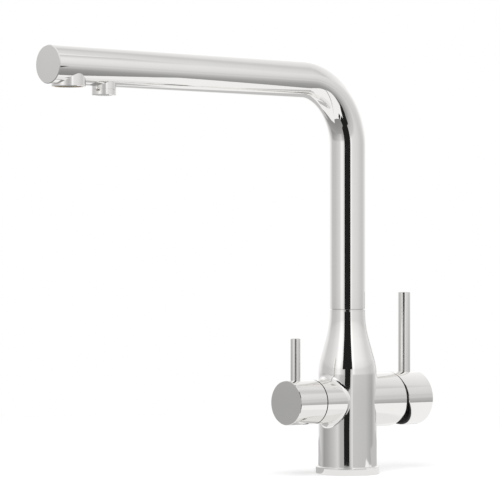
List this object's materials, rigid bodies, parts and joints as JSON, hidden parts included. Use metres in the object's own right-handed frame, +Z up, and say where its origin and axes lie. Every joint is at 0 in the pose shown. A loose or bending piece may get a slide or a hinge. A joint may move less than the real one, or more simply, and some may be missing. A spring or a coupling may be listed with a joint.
{
  "type": "three way kitchen tap",
  "caption": "Chromed kitchen mixer tap with a swivelling L-shaped spout, mixed and filtered water outlets, a hot-cold mixer lever on one side and a filtered water lever on the other.",
  "frame": {"origin": "centre of the body's foot, in the plane of the worktop it stands on", "axes": "+Z up; +X towards the hot and cold mixer handle; -X along the spout at rest and towards the filtered-water handle; -Y towards the person who uses the tap"},
  "size_m": [0.3753, 0.05, 0.3221],
  "materials": {
    "chrome": "polished chrome plate on brass",
    "brass": "turned",
    "steel": "stainless, machined",
    "rubber": "moulded",
    "fibre": "pressed fibre",
    "ceramic": "lapped",
    "white_plastic": "moulded",
    "grey_plastic": "moulded"
  },
  "bodies": {
    "tap_body": {"body_casting": "chrome", "base_ring": "chrome", "base_gasket": "rubber", "filter_riser": "brass", "spout_thrust_washer": "white_plastic", "spout_retaining_screw": "steel", "filter_valve_body": "brass", "filter_valve_gasket": "fibre", "filter_seat_seal": "rubber", "filter_fixed_disc": "ceramic", "cartridge_base": "grey_plastic", "cartridge_port_seals": "rubber", "cartridge_housing": "grey_plastic", "cartridge_fixed_disc": "ceramic", "cartridge_nut": "brass", "cartridge_dome": "chrome"},
    "spout": {"spout_tube": "chrome", "spout_end_cap": "chrome", "spout_ferrule": "brass", "spout_o_rings": "rubber", "spout_bearing_rings": "white_plastic", "filter_coupling": "brass", "filter_coupling_o_ring": "rubber", "filter_hose": "white_plastic", "mixed_outlet_socket": "chrome", "aerator_housing": "brass", "aerator_insert": "grey_plastic", "aerator_washer": "rubber", "filter_outlet_socket": "chrome", "filter_nozzle": "chrome", "nozzle_insert": "white_plastic"},
    "filter_lever": {"filter_hub": "chrome", "filter_lever_pin": "chrome", "filter_spline_bush": "white_plastic", "filter_grub_screw": "steel", "filter_spindle": "brass", "filter_spindle_clip": "steel", "filter_spindle_o_rings": "rubber", "filter_moving_disc": "ceramic"},
    "mixer_carriage": {"cartridge_carriage": "grey_plastic", "cartridge_carriage_o_ring": "rubber", "cartridge_pivot_pin": "steel"},
    "mixer_lever": {"mixer_hub": "chrome", "mixer_lever_pin": "chrome", "mixer_grub_screw": "steel", "cartridge_stem": "steel"},
    "mixer_disc": {"cartridge_moving_disc": "ceramic", "cartridge_disc_carrier": "white_plastic"}
  },
  "joints": [
    {"name": "spout_swivel", "type": "hinge", "parent": "tap_body", "child": "spout", "pos_m": [0, 0, 0.1295], "axis": [0, 0, 1], "continuous": true},
    {"name": "filter_lever_turn", "type": "hinge", "parent": "tap_body", "child": "filter_lever", "pos_m": [-0.0565, 0, 0.0578], "axis": [1, 0, 0], "range_deg": [0, 90]},
    {"name": "mixer_lever_turn", "type": "hinge", "parent": "tap_body", "child": "mixer_carriage", "pos_m": [0.045, 0, 0.0578], "axis": [1, 0, 0], "range_deg": [-50, 50]},
    {"name": "mixer_lever_tilt", "type": "hinge", "parent": "mixer_carriage", "child": "mixer_lever", "pos_m": [0.045, 0, 0.0578], "axis": [0, 1, 0], "range_deg": [0, 17]},
    {"name": "mixer_disc_slide", "type": "slide", "parent": "mixer_carriage", "child": "mixer_disc", "axis": [0, 0, 1], "range_m": [0, 0.0024]}
  ],
  "couplings": [
    {"joint": "mixer_disc_slide", "follows": "mixer_lever_tilt", "m_per_rad": 0.008}
  ]
}
